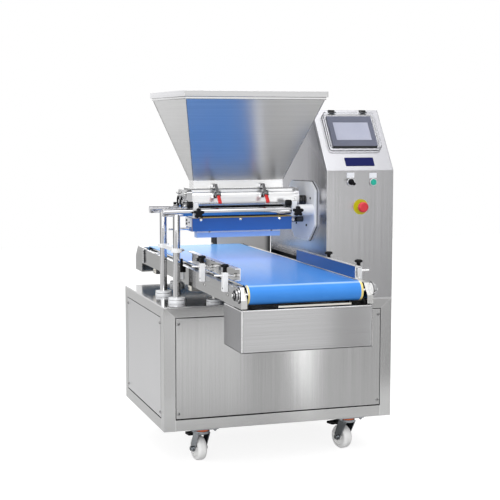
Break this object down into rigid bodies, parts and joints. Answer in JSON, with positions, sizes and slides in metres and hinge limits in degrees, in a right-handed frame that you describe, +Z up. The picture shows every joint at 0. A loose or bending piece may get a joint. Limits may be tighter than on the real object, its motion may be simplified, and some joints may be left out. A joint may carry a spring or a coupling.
{
  "type": "cake batter filling machine",
  "caption": "Batter depositor: hopper and rotor pump head on round bars over a belt conveyor, with a control column on a steel cabinet on swivel casters.",
  "frame": {"origin": "middle of the footprint at floor level, under the casters", "axes": "+Z up, +Y along the conveyor from its nose to its tail, +X towards the control column"},
  "size_m": [0.932, 1.5529, 1.415],
  "materials": {
    "brushed_steel": "brushed stainless sheet",
    "polished_steel": "polished stainless",
    "white_plastic": "machined white acetal",
    "black_plastic": "moulded black",
    "blue_plastic": "blue polymer",
    "blue_belt": "satin food-grade belting",
    "screen": "dark display glass",
    "clear_cover": "clear moulded cover",
    "label": "plain plates",
    "green_plastic": "green button",
    "red_plastic": "red mushroom",
    "red_grip": "red dipped grip",
    "motor_paint": "grey paint",
    "grey_paint": "satin grey",
    "zinc": "galvanised pressing",
    "nylon": "white nylon"
  },
  "bodies": {
    "frame": {"cabinet_frame": "brushed_steel", "cabinet_top": "polished_steel", "service_panels": "brushed_steel", "panel_screws": "brushed_steel", "column_shell": "brushed_steel", "column_side_cover": "brushed_steel", "screen_housing": "black_plastic", "screen_glass": "screen", "panel_hardware": "black_plastic", "label_plates": "label", "drive_plate": "white_plastic", "pump_motor": "motor_paint", "head_supports": "polished_steel", "post_fittings": "white_plastic", "conveyor_frame": "brushed_steel", "belt": "blue_belt", "drum_motor": "polished_steel", "roller_bearings": "polished_steel", "drip_box": "brushed_steel", "inverter_box": "grey_paint", "guide_blocks": "white_plastic", "tray_sensor": "black_plastic", "caster_plates": "zinc"},
    "head": {"hopper": "brushed_steel", "pump_body": "brushed_steel", "end_cover": "brushed_steel", "manifold": "blue_plastic", "nozzle_plate": "brushed_steel", "head_hardware": "polished_steel", "slide_blocks": "white_plastic"},
    "front_rotor": {"front_rotor": "polished_steel"},
    "rear_rotor": {"rear_rotor": "polished_steel"},
    "drive_coupling": {"drive_coupling": "black_plastic"},
    "valve_rod": {"valve_rod": "polished_steel"},
    "left_lever": {"left_lever": "red_grip"},
    "right_lever": {"right_lever": "red_grip"},
    "left_hook": {"left_hook": "polished_steel"},
    "right_hook": {"right_hook": "polished_steel"},
    "left_star_knob": {"left_star_knob": "black_plastic"},
    "right_star_knob": {"right_star_knob": "black_plastic"},
    "screen_cover": {"screen_cover": "clear_cover"},
    "selector_knob": {"selector_knob": "black_plastic"},
    "start_button": {"start_button": "green_plastic"},
    "estop_button": {"estop_button": "red_plastic"},
    "left_guide": {"left_guide": "brushed_steel"},
    "right_guide": {"right_guide": "brushed_steel"},
    "nose_roller": {"nose_roller": "polished_steel"},
    "drive_roller": {"drive_roller": "polished_steel"},
    "left_front_guide_knob": {"left_front_guide_knob": "black_plastic"},
    "left_rear_guide_knob": {"left_rear_guide_knob": "black_plastic"},
    "right_front_guide_knob": {"right_front_guide_knob": "black_plastic"},
    "right_rear_guide_knob": {"right_rear_guide_knob": "black_plastic"},
    "front_left_caster_fork": {"front_left_caster_fork": "zinc"},
    "front_right_caster_fork": {"front_right_caster_fork": "zinc"},
    "rear_left_caster_fork": {"rear_left_caster_fork": "zinc"},
    "rear_right_caster_fork": {"rear_right_caster_fork": "zinc"},
    "front_left_caster_wheel": {"front_left_caster_wheel": "nylon"},
    "front_right_caster_wheel": {"front_right_caster_wheel": "nylon"},
    "rear_left_caster_wheel": {"rear_left_caster_wheel": "nylon"},
    "rear_right_caster_wheel": {"rear_right_caster_wheel": "nylon"}
  },
  "joints": [
    {"name": "head_slide", "type": "slide", "parent": "frame", "child": "head", "axis": [-1, 0, 0], "range_m": [0, 0.045]},
    {"name": "front_rotor_spin", "type": "hinge", "parent": "head", "child": "front_rotor", "pos_m": [-0.093, 0.0205, 0.991], "axis": [1, 0, 0], "continuous": true},
    {"name": "rear_rotor_spin", "type": "hinge", "parent": "head", "child": "rear_rotor", "pos_m": [-0.093, 0.0725, 0.991], "axis": [1, 0, 0], "continuous": true},
    {"name": "coupling_spin", "type": "hinge", "parent": "frame", "child": "drive_coupling", "pos_m": [0.157, 0.0205, 0.991], "axis": [1, 0, 0], "continuous": true},
    {"name": "valve_turn", "type": "hinge", "parent": "head", "child": "valve_rod", "pos_m": [-0.107, 0.0465, 0.912], "axis": [1, 0, 0], "range_deg": [0, 90]},
    {"name": "left_lever_swing", "type": "hinge", "parent": "head", "child": "left_lever", "pos_m": [-0.207, -0.0335, 1.0305], "axis": [-1, 0, 0], "range_deg": [0, 110]},
    {"name": "left_hook_tilt", "type": "hinge", "parent": "left_lever", "child": "left_hook", "pos_m": [-0.207, -0.03952, 1.02381], "axis": [-1, 0, 0], "range_deg": [-110, 0]},
    {"name": "right_lever_swing", "type": "hinge", "parent": "head", "child": "right_lever", "pos_m": [-0.013, -0.0335, 1.0305], "axis": [-1, 0, 0], "range_deg": [0, 110]},
    {"name": "right_hook_tilt", "type": "hinge", "parent": "right_lever", "child": "right_hook", "pos_m": [-0.013, -0.03952, 1.02381], "axis": [-1, 0, 0], "range_deg": [-110, 0]},
    {"name": "left_star_turn", "type": "hinge", "parent": "head", "child": "left_star_knob", "pos_m": [-0.299, -0.0875, 0.954], "axis": [0, -1, 0], "range_deg": [0, 270]},
    {"name": "right_star_turn", "type": "hinge", "parent": "head", "child": "right_star_knob", "pos_m": [0.103, -0.0875, 0.954], "axis": [0, -1, 0], "range_deg": [0, 270]},
    {"name": "screen_cover_lift", "type": "hinge", "parent": "frame", "child": "screen_cover", "pos_m": [0.325, -0.03829, 1.3371], "axis": [-1, 0, 0], "range_deg": [0, 110]},
    {"name": "selector_turn", "type": "hinge", "parent": "frame", "child": "selector_knob", "pos_m": [0.283, -0.1975, 1.07], "axis": [0, -1, 0], "range_deg": [-90, 0]},
    {"name": "start_press", "type": "slide", "parent": "frame", "child": "start_button", "axis": [0, 1, 0], "range_m": [0, 0.0035], "stiffness_N_per_m": 500, "springref_m": -0.002},
    {"name": "stop_press", "type": "slide", "parent": "frame", "child": "estop_button", "axis": [0, 1, 0], "range_m": [0, 0.006]},
    {"name": "left_guide_slide", "type": "slide", "parent": "frame", "child": "left_guide", "axis": [1, 0, 0], "range_m": [-0.01, 0.03]},
    {"name": "right_guide_slide", "type": "slide", "parent": "frame", "child": "right_guide", "axis": [-1, 0, 0], "range_m": [-0.01, 0.03]},
    {"name": "left_front_knob_turn", "type": "hinge", "parent": "frame", "child": "left_front_guide_knob", "pos_m": [-0.355, -0.6145, 0.8], "axis": [0, 0, 1], "range_deg": [0, 270]},
    {"name": "left_rear_knob_turn", "type": "hinge", "parent": "frame", "child": "left_rear_guide_knob", "pos_m": [-0.355, -0.3325, 0.8], "axis": [0, 0, 1], "range_deg": [0, 270]},
    {"name": "right_front_knob_turn", "type": "hinge", "parent": "frame", "child": "right_front_guide_knob", "pos_m": [0.137, -0.6145, 0.8], "axis": [0, 0, 1], "range_deg": [0, 270]},
    {"name": "right_rear_knob_turn", "type": "hinge", "parent": "frame", "child": "right_rear_guide_knob", "pos_m": [0.137, -0.3325, 0.8], "axis": [0, 0, 1], "range_deg": [0, 270]},
    {"name": "nose_roller_spin", "type": "hinge", "parent": "frame", "child": "nose_roller", "pos_m": [-0.115, -0.7435, 0.729], "axis": [1, 0, 0], "continuous": true},
    {"name": "drive_roller_spin", "type": "hinge", "parent": "frame", "child": "drive_roller", "pos_m": [-0.115, 0.6095, 0.729], "axis": [1, 0, 0], "continuous": true},
    {"name": "front_left_swivel", "type": "hinge", "parent": "frame", "child": "front_left_caster_fork", "pos_m": [-0.3, -0.1355, 0.12], "axis": [0, 0, 1], "continuous": true},
    {"name": "front_left_roll", "type": "hinge", "parent": "front_left_caster_fork", "child": "front_left_caster_wheel", "pos_m": [-0.30473, -0.10183, 0.0475], "axis": [0.9903, 0.1392, 0], "continuous": true},
    {"name": "front_right_swivel", "type": "hinge", "parent": "frame", "child": "front_right_caster_fork", "pos_m": [0.302, -0.1355, 0.12], "axis": [0, 0, 1], "continuous": true},
    {"name": "front_right_roll", "type": "hinge", "parent": "front_right_caster_fork", "child": "front_right_caster_wheel", "pos_m": [0.29149, -0.10316, 0.0475], "axis": [0.9511, 0.309, 0], "continuous": true},
    {"name": "rear_left_swivel", "type": "hinge", "parent": "frame", "child": "rear_left_caster_fork", "pos_m": [-0.3, 0.4155, 0.12], "axis": [0, 0, 1], "continuous": true},
    {"name": "rear_left_roll", "type": "hinge", "parent": "rear_left_caster_fork", "child": "rear_left_caster_wheel", "pos_m": [-0.30473, 0.44917, 0.0475], "axis": [0.9903, 0.1392, 0], "continuous": true},
    {"name": "rear_right_swivel", "type": "hinge", "parent": "frame", "child": "rear_right_caster_fork", "pos_m": [0.302, 0.4155, 0.12], "axis": [0, 0, 1], "continuous": true},
    {"name": "rear_right_roll", "type": "hinge", "parent": "rear_right_caster_fork", "child": "rear_right_caster_wheel", "pos_m": [0.29149, 0.44784, 0.0475], "axis": [0.9511, 0.309, 0], "continuous": true}
  ],
  "couplings": [
    {"joint": "rear_rotor_spin", "follows": "front_rotor_spin", "ratio": -1},
    {"joint": "coupling_spin", "follows": "front_rotor_spin", "ratio": 1},
    {"joint": "left_hook_tilt", "follows": "left_lever_swing", "ratio": -1},
    {"joint": "right_hook_tilt", "follows": "right_lever_swing", "ratio": -1},
    {"joint": "drive_roller_spin", "follows": "nose_roller_spin", "ratio": 1}
  ]
}
